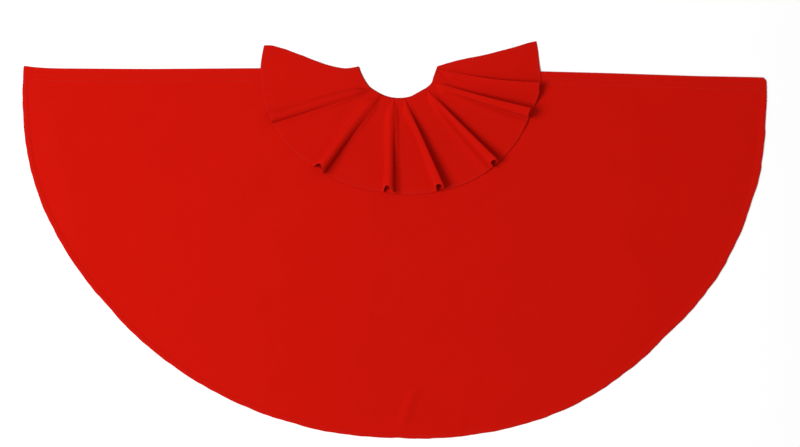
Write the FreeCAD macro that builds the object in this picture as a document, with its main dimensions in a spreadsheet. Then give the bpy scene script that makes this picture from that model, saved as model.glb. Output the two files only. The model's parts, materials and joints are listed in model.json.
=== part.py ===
"""Half-circle cape with a fluted collar, laid open on a flat surface.

The pattern is drawn about the centre of the neckline. +X runs along the straight front edges,
+Y from the hem towards the neck and +Z up off the cloth. An angle on the pattern is counted from
straight down the centre back, positive towards +X. At the end every piece is shifted so that the
origin is the middle of the underside.
"""

import FreeCAD, Part
import math
import os
from FreeCAD import Placement, Rotation, Vector

doc = FreeCAD.newDocument("half_circle_cape")

# Driving dimensions: millimetres, and degrees where the word angle is in the name.
DIMENSIONS = {
    # cloth and thread
    "cloth": 0.8,
    "thread_width": 0.5,
    "thread_height": 0.2,
    # the half circle: its curved edge leans a little to one side at the bottom
    "half_width": 746,
    "depth": 685,
    "curve_side_shift": -6,
    "curve_drop": 75,
    "curve_lean": 32,
    # the two straight front edges
    "neck_corner_drop": 16.7,
    "left_corner_drop": 16,
    "right_corner_drop": 40,
    "front_edge_sag": 4,
    # turned hems and the facing round the neck
    "front_hem": 26,
    "edge_hem": 8,
    "facing": 8,
    "hem_lap": 1.6,
    "hem_gap": 0.4,
    "front_row_near": 14,
    "front_row_far": 24,
    "edge_row": 6,
    # the neckline
    "neck_radius": 80,
    "overcast_stitches": 35,
    "overcast_pitch_angle": 4.4,
    "overcast_reach": 4,
    "overcast_lift": 0.4,
    # the collar and its flutes
    "collar_inner_radius": 81,
    "collar_level": 2.2,
    "collar_hem": 7,
    "collar_row": 5,
    "collar_left_end_angle": -95.5,
    "collar_right_end_angle": 96.6,
    "collar_left_neck_angle": -77,
    "collar_right_neck_angle": 77,
    "flute_radius": 9,
    "flute_start_radius": 1.2,
    "flute_start": 8,
    "flute_curl_angle": 250,
    "flute_clearance": 1.0,
    # how the collar lifts
    "hinge_radius": 74,
    "lift_angle": 35,
    "edge_clearance": 1.2,
}

# One flute each: its angle at the neckline and at the collar's outer edge, from left to right.
FLUTES = [(-55, -64.5), (-27, -36), (-5, -5), (15, 17.5), (42, 42), (59, 69), (74, 80.5)]
# One gore each: the outer radius of its edge and the angle its hinge line faces.
GORES = [(284, -74), (280, -50), (276, -19), (277, 7), (284, 29), (291, 56), (289, 79), (283, 79)]
FLAT_FOLD = 7  # this flute lies between two gores that lift together


sheet = doc.addObject("Spreadsheet::Sheet", "Dims")
sheet_rows = []  # the aliases in the sheet, one a row
made = []  # every sub-part, in the order it is made


def set_dim(alias, value):
    """Adds a row to the sheet: the dimension's name and its value."""
    sheet_rows.append(alias)
    line = len(sheet_rows)
    sheet.set(f"A{line}", alias)
    sheet.set(f"B{line}", str(value))
    sheet.setAlias(f"B{line}", alias)


def dim(alias):
    return float(sheet.get(alias))


for name, size in DIMENSIONS.items():
    set_dim(name, size)
for number, (neck_angle, edge_angle) in enumerate(FLUTES, 1):
    set_dim(f"flute_{number}_neck_angle", neck_angle)
    set_dim(f"flute_{number}_edge_angle", edge_angle)
for number, (edge_radius, hinge_angle) in enumerate(GORES, 1):
    set_dim(f"gore_{number}_radius", edge_radius)
    set_dim(f"gore_{number}_hinge_angle", hinge_angle)
doc.recompute()


def polar(radius, angle):
    """A point of the pattern, from its distance to the neck's centre and its angle."""
    turn = math.radians(angle)
    return Vector(radius * math.sin(turn), -radius * math.cos(turn), 0)


def width_angle(width, radius):
    """The angle that a width takes up at a radius."""
    return math.degrees(width / radius)


# ---------------------------------------------------------------- flat pieces of cloth


def plane(body, role):
    return next(o for o in body.Origin.OriginFeatures if o.Role == role)


def add_sketch(body, role, curves, offset):
    """A sketch of the body on its own origin plane, lifted off it by an expression."""
    sketch = body.newObject("Sketcher::SketchObject", body.Label + "_sketch")
    sketch.AttachmentSupport = [(plane(body, role), "")]
    sketch.MapMode = "FlatFace"
    sketch.setExpression("AttachmentOffset.Base.z", offset)
    for curve in curves:
        sketch.addGeometry(curve, False)
    return sketch


def new_body(name):
    body = doc.addObject("PartDesign::Body", name)
    body.Label = name
    body.AllowCompound = True
    made.append(body)
    return body


def add_pad(body, curves, level, height):
    pad = body.newObject("PartDesign::Pad", body.Label + "_pad")
    pad.Profile = add_sketch(body, "XY_Plane", curves, level)
    pad.setExpression("Length", height)
    return pad


def flat_body(name, curves, level, height="Dims.cloth"):
    body = new_body(name)
    add_pad(body, curves, level, height)
    return body


def closed(points):
    """Straight edges round a closed outline."""
    return [Part.LineSegment(a, b) for a, b in zip(points, points[1:] + points[:1])]


def arc(radius, start, end):
    """An arc about the neck's centre, from one angle to another."""
    middle = (start + end) / 2
    return Part.Arc(polar(radius, start), polar(radius, middle), polar(radius, end))


def band(inner, outer, start, end, end_outer_start=None, end_outer_end=None):
    """A strip between two radii. Its two ends may slant, by other angles at the outer radius."""
    outer_start = start if end_outer_start is None else end_outer_start
    outer_end = end if end_outer_end is None else end_outer_end
    return [
        arc(inner, start, end),
        Part.LineSegment(polar(inner, end), polar(outer, outer_end)),
        arc(outer, outer_end, outer_start),
        Part.LineSegment(polar(outer, outer_start), polar(inner, start)),
    ]


# ---------------------------------------------------------------- the cape's outline


def curve_point(turn, inset):
    """A point of the curved edge. turn is 0 at the right and pi at the left end of the half circle."""
    x = dim("curve_side_shift") + dim("curve_lean") * math.sin(turn) ** 2
    x += (dim("half_width") - inset) * math.cos(turn)
    return Vector(x, -dim("curve_drop") - (dim("depth") - inset) * math.sin(turn), 0)


def curve_turn(drop, inset):
    """How far round the curved edge it is level with a line that lies this far below the neck's centre."""
    return math.asin((drop - dim("curve_drop")) / (dim("depth") - inset))


def curved_edge(inset, right_drop, left_drop):
    """The curved edge from the right to the left, between two levels."""
    steps = 24
    start = curve_turn(right_drop, inset)
    end = math.pi - curve_turn(left_drop, inset)
    turns = [start + (end - start) * i / steps for i in range(steps + 1)]
    edge = Part.BSplineCurve()
    edge.interpolate([curve_point(turn, inset) for turn in turns])
    return edge


def front_edge(neck_end, outer_end):
    """A front edge, which sags a little between the neck and the outer corner."""
    middle = (neck_end + outer_end) / 2 - Vector(0, dim("front_edge_sag"), 0)
    return Part.Arc(neck_end, middle, outer_end)


def neck_corner(side, radius, inset):
    drop = dim("neck_corner_drop") + inset
    return Vector(side * math.sqrt(radius**2 - drop**2), -drop, 0)


def outline(front_inset, curve_inset, neck_inset):
    """The cape's closed outline, moved inwards by its own amount along each kind of edge."""
    radius = dim("neck_radius") + neck_inset
    left = neck_corner(-1, radius, front_inset)
    right = neck_corner(1, radius, front_inset)
    right_drop = dim("right_corner_drop") + front_inset
    left_drop = dim("left_corner_drop") + front_inset
    edge = curved_edge(curve_inset, right_drop, left_drop)
    right_corner = edge.value(edge.FirstParameter)
    left_corner = edge.value(edge.LastParameter)
    return [
        Part.Arc(left, Vector(0, -radius, 0), right),
        front_edge(right, right_corner),
        edge,
        front_edge(left, left_corner),
    ]


def front_strip(side, near, far, curve_inset):
    """A strip along one front edge, between two depths below it, from the facing to the curved edge."""
    radius = dim("neck_radius") + dim("facing") + dim("hem_gap")
    corner_drop = dim("right_corner_drop") if side > 0 else dim("left_corner_drop")
    edges = []
    for depth in (near, far):
        turn = curve_turn(corner_drop + depth, curve_inset)
        if side < 0:
            turn = math.pi - turn
        edges.append(front_edge(neck_corner(side, radius, depth), curve_point(turn, curve_inset)))
    upper, lower = edges
    between = upper.StartPoint + lower.StartPoint
    return [
        upper,
        Part.LineSegment(upper.EndPoint, lower.EndPoint),
        lower,
        Part.Arc(lower.StartPoint, between.normalize() * radius, upper.StartPoint),
    ]


def curve_strip(near, far, top_gap):
    """A strip along the curved edge, between two depths inside it, up to the front hems."""
    below = dim("front_hem") + top_gap
    drops = (dim("right_corner_drop") + below, dim("left_corner_drop") + below)
    outer = curved_edge(near, *drops)
    inner = curved_edge(far, *drops)
    ends = [(e.value(e.FirstParameter), e.value(e.LastParameter)) for e in (outer, inner)]
    return [
        outer,
        Part.LineSegment(ends[0][1], ends[1][1]),
        inner,
        Part.LineSegment(ends[0][0], ends[1][0]),
    ]


def row(depth):
    """The two sides of a row of stitching that runs at this depth."""
    half = dim("thread_width") / 2
    return depth - half, depth + half


# ---------------------------------------------------------------- the cape


def make_cape_panel():
    """One ply of cloth. It lies flat inside the hems and steps up by one ply over them."""
    hems = [dim("front_hem"), dim("edge_hem"), dim("facing")]
    body = flat_body("cape_panel", outline(*hems), "0 mm")
    lapped = [hem + dim("hem_lap") for hem in hems]
    margin = outline(0, 0, 0) + outline(*lapped)
    add_pad(body, margin, "Dims.cloth", "Dims.cloth")


def make_hems():
    """The cloth turned under along each edge, one ply thick, and the facing under the neckline."""
    depth = dim("front_hem") - dim("hem_gap")
    flat_body("front_hem_left", front_strip(-1, 0, depth, 0), "0 mm")
    flat_body("front_hem_right", front_strip(1, 0, depth, 0), "0 mm")
    edge_depth = dim("edge_hem") - dim("hem_gap")
    flat_body("curved_hem", curve_strip(0, edge_depth, dim("hem_gap")), "0 mm")
    radius = dim("neck_radius")
    end = math.degrees(math.acos(dim("neck_corner_drop") / radius))
    facing = band(radius, radius + dim("facing") - dim("hem_gap"), -end, end)
    flat_body("neck_facing", facing, "0 mm")


def make_hem_stitching():
    """Two rows of stitching along each front edge and one along the curved edge."""
    top = "2 * Dims.cloth"
    inset = dim("edge_hem")
    rows = (row(dim("front_row_near")), row(dim("front_row_far")))
    for name, side in (("front_hem_stitching_left", -1), ("front_hem_stitching_right", 1)):
        curves = [c for near, far in rows for c in front_strip(side, near, far, inset)]
        flat_body(name, curves, top, "Dims.thread_height")
    curves = curve_strip(*row(dim("edge_row")), dim("hem_gap"))
    flat_body("curved_hem_stitching", curves, top, "Dims.thread_height")


def make_neck_stitching():
    """Overcast stitches: each goes over the edge of the neckline and lies on the cloth behind it."""
    body = new_body("neck_stitching")
    radius = dim("neck_radius")
    lift = dim("overcast_lift")
    half = dim("thread_width") / 2
    profile = closed([
        Vector(radius - lift, dim("cloth") / 2, 0),
        Vector(radius, dim("cloth") / 2, 0),
        Vector(radius, 2 * dim("cloth"), 0),
        Vector(radius + dim("overcast_reach"), 2 * dim("cloth"), 0),
        Vector(radius + dim("overcast_reach"), 2 * dim("cloth") + lift / 2, 0),
        Vector(radius - lift, 2 * dim("cloth") + lift, 0),
    ])
    pad = body.newObject("PartDesign::Pad", "neck_stitch")
    pad.Profile = add_sketch(body, "XZ_Plane", profile, f"-{half}")
    pad.setExpression("Length", "Dims.thread_width")
    doc.recompute()
    pattern = body.newObject("PartDesign::PolarPattern", "neck_stitches")
    pattern.Originals = [pad]
    pattern.Axis = (plane(body, "Z_Axis"), [""])
    pattern.setExpression("Angle", "Dims.overcast_pitch_angle * (Dims.overcast_stitches - 1)")
    pattern.setExpression("Occurrences", "Dims.overcast_stitches")
    body.Tip = pattern
    span = dim("overcast_pitch_angle") * (dim("overcast_stitches") - 1)
    body.Placement = Placement(Vector(0, 0, 0), Rotation(Vector(0, 0, 1), -90 - span / 2))


# ---------------------------------------------------------------- the collar


def lifted_angle(angle, hinge_angle, radius):
    """Where a point of a gore is, as an angle about the neck, once its gore is lifted all the way."""
    off = math.radians(angle - hinge_angle)
    along = radius * math.sin(off)
    out = radius * math.cos(off) - dim("hinge_radius")
    reach = dim("hinge_radius") + out * math.cos(math.radians(dim("lift_angle")))
    return hinge_angle + math.degrees(math.atan2(along, reach))


def closing_angle(number, radius):
    """How much the gap beyond this flute closes at this radius when its two gores lift."""
    before = dim(f"gore_{number}_hinge_angle")
    after = dim(f"gore_{number + 1}_hinge_angle")
    middle = dim(f"flute_{number}_edge_angle")
    return lifted_angle(middle, before, radius) - lifted_angle(middle, after, radius)


def gore_edges(number):
    """The angles of a gore's left and right edges, each at the neck and at the outer edge."""
    inner = dim("collar_inner_radius")
    outer = dim(f"gore_{number}_radius")
    clear = dim("edge_clearance")
    if number == 1:
        left = (dim("collar_left_neck_angle"), dim("collar_left_end_angle"))
    else:
        before = number - 1
        at_neck = dim(f"flute_{before}_neck_angle") + width_angle(clear / 2, inner)
        at_edge = dim(f"flute_{before}_edge_angle") - width_angle(dim("flute_radius") - clear, outer)
        if before != FLAT_FOLD:
            at_neck += closing_angle(before, inner)
            at_edge += closing_angle(before, outer)
        left = (at_neck, at_edge)
    if number == len(GORES):
        right = (dim("collar_right_neck_angle"), dim("collar_right_end_angle"))
    else:
        at_neck = dim(f"flute_{number}_neck_angle") - width_angle(clear / 2, inner)
        at_edge = dim(f"flute_{number}_edge_angle") - width_angle(dim("flute_radius"), outer)
        right = (at_neck, at_edge)
    return left, right


def edge_angle_at(edge, number, radius):
    """The angle of a gore's straight edge where it crosses a radius."""
    start = polar(dim("collar_inner_radius"), edge[0])
    run = polar(dim(f"gore_{number}_radius"), edge[1]) - start
    a = run.dot(run)
    b = 2 * start.dot(run)
    c = start.dot(start) - radius**2
    point = start + run * ((math.sqrt(b * b - 4 * a * c) - b) / (2 * a))
    return math.degrees(math.atan2(point.x, -point.y))


def gore_band(number, inner, outer, trim=0):
    """The part of a gore between two radii, as a closed outline, cut short by trim before its flute."""
    left, right = gore_edges(number)
    return band(
        inner,
        outer,
        edge_angle_at(left, number, inner),
        edge_angle_at(right, number, inner) - width_angle(trim, inner),
        edge_angle_at(left, number, outer),
        edge_angle_at(right, number, outer) - width_angle(trim, outer),
    )


def make_gore(number):
    """One segment of the collar between two flutes, with its narrow hem turned under and stitched."""
    inner = dim("collar_inner_radius")
    outer = dim(f"gore_{number}_radius")
    plate = gore_band(number, inner, outer)
    flat_body(f"collar_gore_{number}", plate, "Dims.collar_level + Dims.cloth")
    hem = gore_band(number, outer - dim("collar_hem"), outer)
    flat_body(f"collar_hem_{number}", hem, "Dims.collar_level")
    near, far = row(dim("collar_row"))
    stitching = gore_band(number, outer - far, outer - near, 2 * dim("cloth"))
    level = "Dims.collar_level + 2 * Dims.cloth"
    flat_body(f"collar_stitching_{number}", stitching, level, "Dims.thread_height")


def make_end_hem(name, number, side):
    """The hem turned under along an open end of the collar, from the neckline to the outer hem."""
    left, right = gore_edges(number)
    edge = left if side < 0 else right
    inner = dim("collar_inner_radius")
    outer = dim(f"gore_{number}_radius") - dim("collar_hem") - dim("hem_gap")
    ends = [polar(r, edge_angle_at(edge, number, r)) for r in (inner, outer)]
    width = dim("collar_hem")
    other = [polar(r, edge_angle_at(edge, number, r) - side * width_angle(width, r)) for r in (inner, outer)]
    flat_body(name, closed([ends[0], ends[1], other[1], other[0]]), "Dims.collar_level")


def flute_profile(radius, lift):
    """Section of a flute: a foot on the gore's edge, and a curl of cloth that leans over the next gore.

    The foot stands at y = 0, and the curl's lowest point is lift above the gore's top.
    """
    cloth = dim("cloth")
    foot = dim("collar_level") + 2 * cloth
    centre = Vector(radius, foot + lift + radius, 0)

    def on(distance, turn):
        angle = math.radians(180 - turn)
        return centre + Vector(distance * math.cos(angle), distance * math.sin(angle), 0)

    curl = dim("flute_curl_angle")
    inner = max(radius - cloth, radius / 3)
    wall = radius - inner
    outside = Part.Arc(on(radius, 0), on(radius, curl / 2), on(radius, curl))
    inside = Part.Arc(on(inner, 0), on(inner, curl / 2), on(inner, curl))
    return [
        Part.LineSegment(Vector(0, foot, 0), on(radius, 0)),
        outside,
        Part.LineSegment(on(radius, curl), on(inner, curl)),
        inside,
        Part.LineSegment(on(inner, 0), Vector(wall, foot, 0)),
        Part.LineSegment(Vector(wall, foot, 0), Vector(0, foot, 0)),
    ]


def lift_turn(number):
    """The rotation that lifts a gore all the way, about its own hinge line."""
    out = polar(1, dim(f"gore_{number}_hinge_angle"))
    return Rotation(out.cross(Vector(0, 0, 1)), dim("lift_angle"))


def rise(number, point):
    """How high the next gore's plane stands above a point of this gore, once both are lifted."""
    hinges = [polar(dim("hinge_radius"), dim(f"gore_{n}_hinge_angle")) for n in (number, number + 1)]
    here = hinges[0] + lift_turn(number).multVec(point - hinges[0])
    normal = lift_turn(number + 1).multVec(Vector(0, 0, 1))
    return normal.dot(hinges[1] - here)


def flute_line(number):
    """The start and the end of the line that a flute's foot follows, and its length."""
    edge = gore_edges(number)[1]
    start = polar(dim("collar_inner_radius"), edge[0])
    end = polar(dim(f"gore_{number}_radius"), edge[1])
    return start, end, (end - start).Length


def flute_lift(number, distance):
    """How high a curl's lowest point has to be, so that the next gore can rise and tilt under it."""
    start, end, length = flute_line(number)
    out = (end - start) / length
    aside = Vector(-out.y, out.x, 0)
    radius = flute_size(number, distance)
    needed = 0
    steps = 8
    for step in range(steps + 1):
        width = 2 * radius * step / steps
        under = radius - math.sqrt(radius**2 - (width - radius) ** 2)
        needed = max(needed, rise(number, start + out * distance + aside * width) - under)
    return dim("flute_clearance") + needed


def flute_size(number, distance):
    """The radius of the curl, which grows evenly from the neckline."""
    share = distance / flute_line(number)[2]
    near = dim("flute_start_radius")
    return near + (dim("flute_radius") - near) * share


def make_flute(number):
    """A fold of cloth standing on the gore's right edge, a narrow cone from the neck outwards."""
    start, end, length = flute_line(number)
    body = new_body(f"collar_flute_{number}")
    set_dim(f"flute_{number}_run", length)
    sheet.recompute()
    sections = []
    for alias in ("flute_start", f"flute_{number}_run"):
        profile = flute_profile(flute_size(number, dim(alias)), flute_lift(number, dim(alias)))
        sections.append(add_sketch(body, "YZ_Plane", profile, f"Dims.{alias}"))
    loft = body.newObject("PartDesign::AdditiveLoft", body.Label + "_loft")
    loft.Profile = sections[0]
    loft.Sections = [sections[1]]
    loft.Ruled = True
    run = end - start
    turn = Rotation(Vector(0, 0, 1), math.degrees(math.atan2(run.y, run.x)))
    inwards = turn.multVec(Vector(0, -dim("cloth"), 0))
    body.Placement = Placement(start + inwards, turn)


# ---------------------------------------------------------------- build, check and write


def check(objects):
    for thing in objects:
        bad = [word for word in thing.State if word in ("Invalid", "Error")]
        if bad:
            raise RuntimeError(f"{thing.Label} is {bad}")
    for body in made:
        if body.Shape.isNull() or not body.Shape.isValid() or not body.Shape.Solids:
            raise RuntimeError(f"{body.Label} has no valid shape")


def whole_box():
    box = FreeCAD.BoundBox()
    for body in made:
        box.add(body.Shape.optimalBoundingBox(False, False))
    return box


make_cape_panel()
make_hems()
make_hem_stitching()
make_neck_stitching()
for gore_number in range(1, len(GORES) + 1):
    make_gore(gore_number)
make_end_hem("collar_end_hem_left", 1, -1)
make_end_hem("collar_end_hem_right", len(GORES), 1)
for flute_number in range(1, len(FLUTES) + 1):
    make_flute(flute_number)
doc.recompute()
check(doc.Objects)

# The origin is the middle of the underside of the whole cape.
middle = whole_box().Center
shift = Vector(-middle.x, -middle.y, 0)
for body in made:
    body.Placement = Placement(shift, Rotation()).multiply(body.Placement)
doc.recompute()
check(doc.Objects)

os.makedirs("parts", exist_ok=True)
for body in made:
    body.Shape.exportStep(os.path.join("parts", body.Label + ".step"))

extent = whole_box()
print(f"{len(made)} sub-parts, {extent.XLength:.2f} x {extent.YLength:.2f} x {extent.ZLength:.2f} mm")
print(f"neck centre {shift.x:.3f} {shift.y:.3f}, hinge height {dim('collar_level'):.3f}")
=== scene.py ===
"""The looks of a half-circle cape with a fluted collar, laid open flat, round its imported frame.

Everything is in metres in the frame's own axes: +X along the straight front edges, +Y from the
curved hem towards the neck, +Z up off the cloth. The pattern is drawn about the neck's centre. An
angle on it is counted in degrees from straight down the centre back, positive towards +X.
"""

import json
import math

import bpy
import numpy as np
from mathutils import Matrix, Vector
from mathutils.bvhtree import BVHTree


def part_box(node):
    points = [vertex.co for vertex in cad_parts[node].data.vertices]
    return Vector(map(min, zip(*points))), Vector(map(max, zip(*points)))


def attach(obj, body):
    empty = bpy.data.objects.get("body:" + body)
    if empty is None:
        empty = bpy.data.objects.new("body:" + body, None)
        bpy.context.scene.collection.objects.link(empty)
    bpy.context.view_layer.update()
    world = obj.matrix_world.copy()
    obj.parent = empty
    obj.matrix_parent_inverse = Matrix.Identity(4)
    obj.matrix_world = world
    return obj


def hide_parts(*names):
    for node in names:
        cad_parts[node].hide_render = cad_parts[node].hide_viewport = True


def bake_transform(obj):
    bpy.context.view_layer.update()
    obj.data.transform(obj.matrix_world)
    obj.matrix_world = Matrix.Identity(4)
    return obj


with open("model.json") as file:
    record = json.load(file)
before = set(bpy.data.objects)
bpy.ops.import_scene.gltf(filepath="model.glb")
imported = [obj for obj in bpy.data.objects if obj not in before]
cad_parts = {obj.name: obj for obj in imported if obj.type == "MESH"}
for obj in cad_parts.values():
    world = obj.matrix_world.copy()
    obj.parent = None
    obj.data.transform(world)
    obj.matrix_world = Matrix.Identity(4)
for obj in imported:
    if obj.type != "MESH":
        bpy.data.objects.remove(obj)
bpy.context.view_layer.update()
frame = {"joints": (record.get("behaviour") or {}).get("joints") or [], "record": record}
MM = 0.001

# ------------------------------------------------------------------ sizes read from the frame

record = frame["record"]
NECK = np.array([m for m in record["mounts"] if m["name"] == "neckline"][0]["pos_m"][:2])
PANEL_LOW, PANEL_HIGH = (np.array(corner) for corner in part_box("cape_panel"))
HALF_WIDTH = (PANEL_HIGH[0] - PANEL_LOW[0]) / 2

# ------------------------------------------------------------------ the pattern's own sizes

NECK_RADIUS = 80 * MM
NECK_CORNER_DROP = 16.7 * MM
CURVE_DROP = 75 * MM
CURVE_LEAN = 32 * MM
CURVE_SHIFT = (PANEL_HIGH[0] + PANEL_LOW[0]) / 2 - NECK[0]
DEPTH = NECK[1] - PANEL_LOW[1] - CURVE_DROP
CURVE_START_DROP = 40 * MM  # where the curved edge meets the right front edge
CURVE_END_DROP = 16 * MM  # and the left one
CORNER_ROUNDING = 9 * MM
FRONT_HEM = 26 * MM
FRONT_ROWS = (14 * MM, 24 * MM)
FRONT_ROW_STOP = 12 * MM  # short of the half circle's end
EDGE_HEM = 8 * MM
EDGE_ROW = 6 * MM
FACING = 8 * MM
HEM_STEP = 3 * MM  # over which the cape comes up onto a hem
WEAR_WIDTH = 2.5 * MM  # of the paler cloth along an edge
FINE_STEP = 1.6 * MM  # the cape's smallest steps, at its edges

# How far the curved edge lies outside its drawn curve: angles, and distances (millimetres).
CURVE_WANDER = [
    (-88, -1), (-79, -1), (-73, 2.5), (-50, -1.5), (-42, 2.5), (-26, 6), (-10, 4.5), (-2, 0.5),
    (10, 3), (24, 6), (34, 2.5), (44, -4.5), (54, 2.5), (74, 1.5), (79, -3), (86, -3),
]

# How far outwards the neckline wanders from round: angles, and distances (millimetres).
NECK_WANDER = [
    (-78, 0), (-64, -0.7), (-54, -0.2), (-45, 1), (-33, -0.4), (-15, 0.2), (0, 0.5), (19, 1.3),
    (28, 0), (37, 0.7), (45, 3), (50, 4), (55, 3.9), (61, 1), (69, 0), (78, 0.5),
]

CLOTH = 0.7 * MM  # one ply
PLY = 0.8 * MM  # from the middle of one ply to the next
FLOOR_PLY = 0.4 * MM  # height of the middle of a ply that lies on the floor

# How far the front edges run below the neck's centre, along x (millimetres).
LEFT_EDGE = [
    (-748, 16), (-737, 18.5), (-690, 21.4), (-500, 22.6), (-274, 21), (-150, 23), (-106, 23.5),
    (-79, 16.7),
]
RIGHT_EDGE = [(79, 16.7), (284, 27.4), (422, 31), (602, 37), (715, 39), (739, 40)]


def polar(radius, angle):
    """Points in the frame's x and y, from distances to the neck's centre and angles."""
    turn = np.radians(angle)
    return np.stack([NECK[0] + radius * np.sin(turn), NECK[1] - radius * np.cos(turn)], -1)


def lookup(table, value, scale=(1, 1)):
    """The second column of a short table at a value of its first, on a smooth line."""
    knots = np.array(table, float) * scale
    steps = 600
    fine = np.linspace(knots[0, 0], knots[-1, 0], steps)
    line = np.interp(fine, knots[:, 0], knots[:, 1])
    width = steps // (3 * len(knots))
    padded = np.pad(line, width, mode="reflect", reflect_type="odd")
    soft = np.convolve(padded, np.hanning(2 * width + 1) / width, mode="valid")
    return np.interp(value, fine, soft)


def smooth(low, high, value):
    """0 below low, 1 above high, and a smooth step between them."""
    share = np.clip((value - low) / (high - low), 0, 1)
    return share * share * (3 - 2 * share)


def bell(value, width):
    return np.exp(-((value / width) ** 2))


def lengths_along(line):
    """The length from a line's first point to each of its points."""
    steps = np.linalg.norm(np.diff(line, axis=0), axis=1)
    return np.concatenate([[0], np.cumsum(steps)])


def soft_noise(points, size, seed):
    """Smooth noise between about -1 and 1 over points in the plane, with features of that size."""
    total = np.zeros(points.shape[:-1])
    draw = np.random.default_rng(seed)
    for octave in range(3):
        for _ in range(4):
            turn, phase = draw.uniform(0, 2 * math.pi, 2)
            pitch = size * draw.uniform(0.8, 1.3) / 1.7**octave
            along = points[..., 0] * math.cos(turn) + points[..., 1] * math.sin(turn)
            across = points[..., 1] * math.cos(turn) - points[..., 0] * math.sin(turn)
            bend = 0.35 * pitch * np.sin(across * 2 * math.pi / (2.3 * pitch) + phase)
            total += np.sin((along + bend) * 2 * math.pi / pitch + phase) / 1.8**octave
    return total / 5


def flat_noise(run, size, seed):
    """The same noise along one line."""
    return soft_noise(np.stack([run, 0 * run], -1), size, seed)


def graded(length, fine_start, fine_end, fine, coarse, growth=1.2):
    """Places from 0 to length: fine steps over a stretch at each end, growing to coarse between."""
    position, step, places = 0.0, fine, [0.0]
    while position < length:
        left = length - position - fine_end
        if position < fine_start or left <= 0:
            wanted = fine
        else:
            wanted = min(coarse, fine + left * (1 - 1 / growth))
        step = min(wanted, step * growth)
        position += step
        places.append(position)
    return np.array(places) * length / places[-1]


# ------------------------------------------------------------------ mesh building


def grid_faces(columns, rows, offset=0, flip=False):
    """Quads over a grid of columns by rows points."""
    index = np.arange(columns * rows).reshape(columns, rows) + offset
    quads = np.stack([index[:-1, :-1], index[:-1, 1:], index[1:, 1:], index[1:, :-1]], -1)
    quads = quads.reshape(-1, 4)
    return quads[:, ::-1] if flip else quads


def rim_faces(columns, rows):
    """Quads that join the borders of two stacked grids of columns by rows points."""
    index = np.arange(columns * rows).reshape(columns, rows)
    border = np.concatenate([index[:-1, 0], index[-1, :-1], index[:0:-1, -1], index[0, :0:-1]])
    after = np.roll(border, -1)
    below = columns * rows
    return np.stack([border, after, after + below, border + below], -1)


def grid_normals(grid):
    """The unit normal at each point of a grid, towards the cloth's right side."""
    normal = np.cross(np.gradient(grid, axis=1), np.gradient(grid, axis=0))
    return normal / np.maximum(np.linalg.norm(normal, axis=-1, keepdims=True), 1e-12)


def new_object(name, points, quads, uv=None, values=None):
    """A smooth-shaded mesh, with cloth coordinates in metres and named values on its points."""
    mesh = bpy.data.meshes.new(name)
    mesh.from_pydata(points.tolist(), [], quads.tolist())
    mesh.polygons.foreach_set("use_smooth", np.ones(len(mesh.polygons), bool))
    if uv is not None:
        corners = np.empty(len(mesh.loops), np.int32)
        mesh.loops.foreach_get("vertex_index", corners)
        layer = mesh.uv_layers.new(name="cloth")
        layer.data.foreach_set("uv", uv.astype(np.float32)[corners].ravel())
    for key, value in (values or {}).items():
        attribute = mesh.attributes.new(key, "FLOAT", "POINT")
        attribute.data.foreach_set("value", value.astype(np.float32).ravel())
    mesh.update(calc_edges=True)
    thing = bpy.data.objects.new(name, mesh)
    bpy.context.scene.collection.objects.link(thing)
    return thing


def cloth_uv(grid):
    """Where each point of a grid lies on the flat cloth: lengths along its rows and its columns."""
    steps = np.linalg.norm(np.diff(grid, axis=0), axis=-1)
    across = np.concatenate([np.zeros((1, grid.shape[1])), np.cumsum(steps, axis=0)])
    steps = np.linalg.norm(np.diff(grid, axis=1), axis=-1)
    along = np.concatenate([np.zeros((grid.shape[0], 1)), np.cumsum(steps, axis=1)], axis=1)
    return np.stack([across, along], -1)


def cloth_object(name, grid, uv=None, worn=None, thickness=CLOTH):
    """A closed ply of cloth round a grid of points, which runs through its middle."""
    columns, rows = grid.shape[:2]
    half = grid_normals(grid) * np.broadcast_to(thickness, (columns, rows))[..., None] / 2
    points = np.concatenate([(grid + half).reshape(-1, 3), (grid - half).reshape(-1, 3)])
    quads = np.concatenate([
        grid_faces(columns, rows),
        grid_faces(columns, rows, columns * rows, flip=True),
        rim_faces(columns, rows),
    ])
    uv = cloth_uv(grid) if uv is None else uv
    worn = np.zeros((columns, rows)) if worn is None else worn
    return new_object(
        name, points, quads, np.tile(uv.reshape(-1, 2), (2, 1)), {"worn": np.tile(worn.ravel(), 2)}
    )


def turned_hem(strip, normal, ply=PLY, turn_steps=5):
    """The ply turned under along a hem. The rows of strip run from the folded edge inwards.

    Its first rows go round the fold, on a half circle from the upper ply to the lower one.
    """
    outwards = strip[:, 0] - strip[:, 1]
    outwards /= np.linalg.norm(outwards, axis=-1, keepdims=True)
    fold = []
    for step in range(turn_steps):
        turn = math.pi * (step + 0.6) / turn_steps
        away = ply / 2 * math.sin(turn)
        down = ply / 2 * (1 - math.cos(turn))
        fold.append(strip[:, 0] + outwards * away - normal[:, 0] * down)
    under = strip[:, 1:] - normal[:, 1:] * ply
    hem = np.concatenate([np.stack(fold, 1), under], axis=1)
    hem[..., 2] = np.maximum(hem[..., 2], FLOOR_PLY)
    return hem


# ------------------------------------------------------------------ thread

THREAD = 0.26 * MM  # radius
STITCH = 3.0 * MM
STITCH_PITCH = 4.0 * MM
STITCH_START = 0.5 * MM  # from the end of the seam to the first one
STITCH_RISE = (-0.25, 0.08, 0.16, 0.16, 0.08, -0.25)  # above the cloth along it (millimetres)
STITCH_SIDES = 6


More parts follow.
